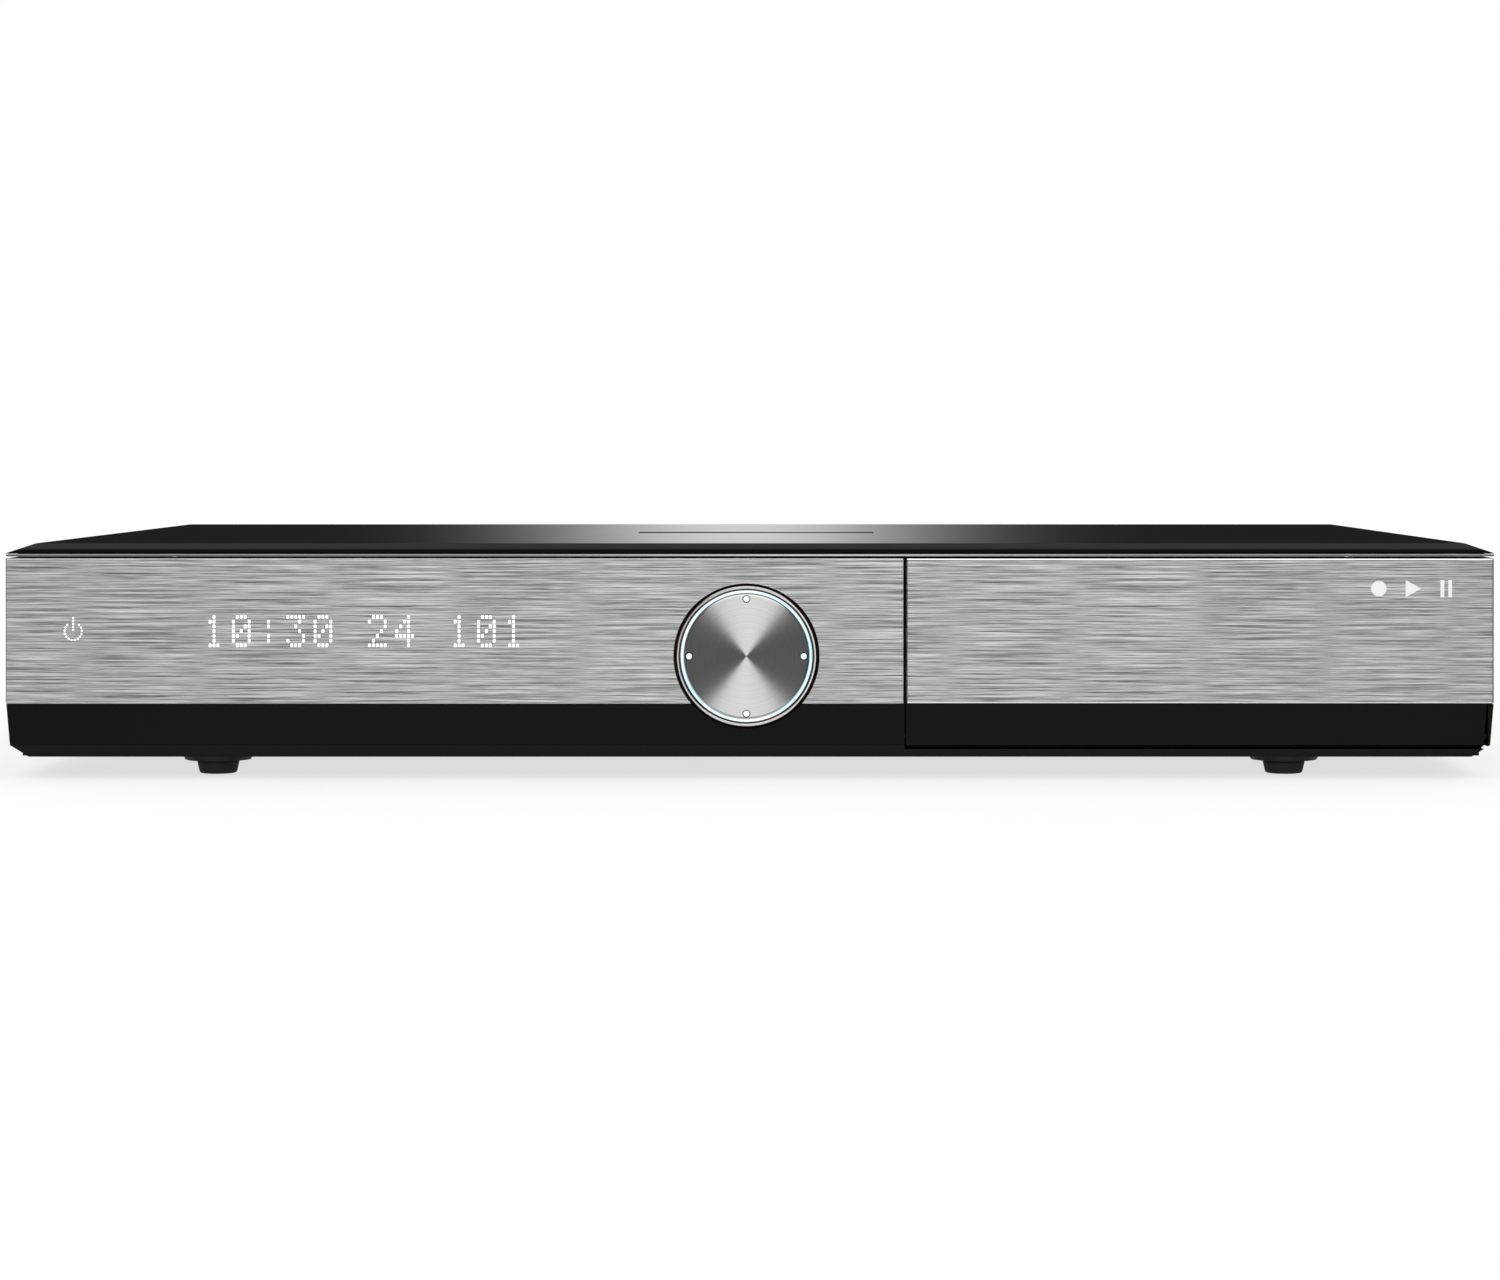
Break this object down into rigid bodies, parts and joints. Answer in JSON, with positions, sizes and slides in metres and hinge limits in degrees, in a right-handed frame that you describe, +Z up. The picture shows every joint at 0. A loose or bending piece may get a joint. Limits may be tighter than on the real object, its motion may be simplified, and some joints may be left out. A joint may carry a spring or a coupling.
{
  "type": "digital video recorder",
  "caption": "Set-top digital video recorder with a brushed front, round tilting control dial, drop-down flap and a disk drive inside.",
  "frame": {"origin": "centre of the bounding box's bottom face, on the surface the feet stand on", "axes": "+X along the width, to the right as seen from the front; +Y from front to rear; +Z up"},
  "size_m": [0.38, 0.2578, 0.06],
  "materials": {
    "gloss_black": "piano-black gloss enamel",
    "satin_black": "fine satin moulded ABS",
    "matt_black": "matt moulded nylon",
    "brushed_aluminium": "brushed lengthways, clear anodised",
    "spun_aluminium": "spun, concentric fine lines",
    "chrome": "bright plated",
    "zinc_steel": "zinc-coated sheet steel",
    "cast_aluminium": "as cast",
    "mirror_disk": "polished disk",
    "white_light": "milky light guide, lit from behind",
    "rubber": "matt rubber",
    "green_board": "green solder mask on glass fibre",
    "brown_board": "bare paper-resin board",
    "smoked_glass": "dark display glass",
    "nickel": "nickel plated",
    "black_anodised": "black anodised",
    "copper_winding": "taped coil",
    "sleeve": "shrink sleeve",
    "grey_cable": "flat ribbon insulation",
    "red_cable": "cable jacket",
    "white_cable": "wire insulation"
  },
  "bodies": {
    "case": {"base_chassis": "matt_black", "top_cover": "gloss_black", "rear_panel": "matt_black", "foot_front_left": "rubber", "foot_front_right": "rubber", "foot_rear_left": "rubber", "foot_rear_right": "rubber", "cover_screw_1": "nickel", "cover_screw_2": "nickel", "cover_screw_3": "nickel", "cover_screw_4": "nickel", "front_bezel": "satin_black", "bezel_trim": "chrome", "fascia_plate": "brushed_aluminium", "flap_hinge_pin_left": "black_anodised", "flap_hinge_pin_right": "black_anodised", "flap_latch": "matt_black", "card_reader": "zinc_steel", "front_usb_socket": "nickel", "pocket_board": "green_board", "nav_ring": "chrome", "light_ring": "white_light", "nav_carrier": "matt_black", "nav_switch_up": "matt_black", "nav_switch_right": "matt_black", "nav_switch_down": "matt_black", "nav_switch_left": "matt_black", "front_board": "green_board", "display_module": "smoked_glass", "ribbon_cable": "grey_cable", "psu_board": "brown_board", "psu_transformer": "copper_winding", "psu_capacitor": "sleeve", "psu_harness": "white_cable", "ac_inlet": "matt_black", "power_switch_body": "matt_black", "ac_lead": "white_cable", "main_board": "green_board", "heatsink": "black_anodised", "tuner_can": "nickel", "rca_jacks": "matt_black", "optical_socket": "matt_black", "scart_socket": "matt_black", "hdmi_socket": "nickel", "lan_usb_socket": "nickel", "drive_bracket": "zinc_steel", "drive_base": "cast_aluminium", "drive_lid": "zinc_steel", "sata_cable": "red_cable", "fan_frame": "matt_black"},
    "flap": {"flap_door": "satin_black", "flap_plate": "brushed_aluminium"},
    "dial_gimbal": {"nav_gimbal": "satin_black"},
    "dial_button": {"nav_disc": "spun_aluminium", "nav_lens": "white_light"},
    "latch_plunger": {"flap_latch_plunger": "satin_black"},
    "rocker": {"power_switch_rocker": "satin_black"},
    "fan_wheel": {"fan_rotor": "satin_black"},
    "disk_stack": {"drive_platters": "mirror_disk"},
    "head_arm": {"drive_actuator": "cast_aluminium"}
  },
  "joints": [
    {"name": "flap_hinge", "type": "hinge", "parent": "case", "child": "flap", "pos_m": [0.1149, -0.12585, 0.0109], "axis": [1, 0, 0], "range_deg": [-1, 90]},
    {"name": "dial_tilt_vertical", "type": "hinge", "parent": "case", "child": "dial_gimbal", "pos_m": [-0.0009, -0.12345, 0.0314], "axis": [1, 0, 0], "range_deg": [-1.5, 1.5], "stiffness_Nm_per_rad": 0.5},
    {"name": "dial_tilt_sideways", "type": "hinge", "parent": "dial_gimbal", "child": "dial_button", "pos_m": [-0.0009, -0.12345, 0.0314], "axis": [0, 0, 1], "range_deg": [-1.5, 1.5], "stiffness_Nm_per_rad": 0.5},
    {"name": "latch_push", "type": "slide", "parent": "case", "child": "latch_plunger", "axis": [0, 1, 0], "range_m": [0, 0.002], "stiffness_N_per_m": 300},
    {"name": "rocker_tilt", "type": "hinge", "parent": "case", "child": "rocker", "pos_m": [-0.134, 0.11555, 0.0244], "axis": [1, 0, 0], "range_deg": [-14, 0]},
    {"name": "fan_spin", "type": "hinge", "parent": "case", "child": "fan_wheel", "pos_m": [0.1545, 0.11425, 0.0285], "axis": [0, 1, 0], "continuous": true},
    {"name": "disk_spin", "type": "hinge", "parent": "case", "child": "disk_stack", "pos_m": [0.1272, -0.01105, 0.028], "axis": [0, 0, 1], "continuous": true},
    {"name": "head_swing", "type": "hinge", "parent": "case", "child": "head_arm", "pos_m": [0.1572, 0.04595, 0.03], "axis": [0, 0, 1], "range_deg": [-15, 10]}
  ]
}
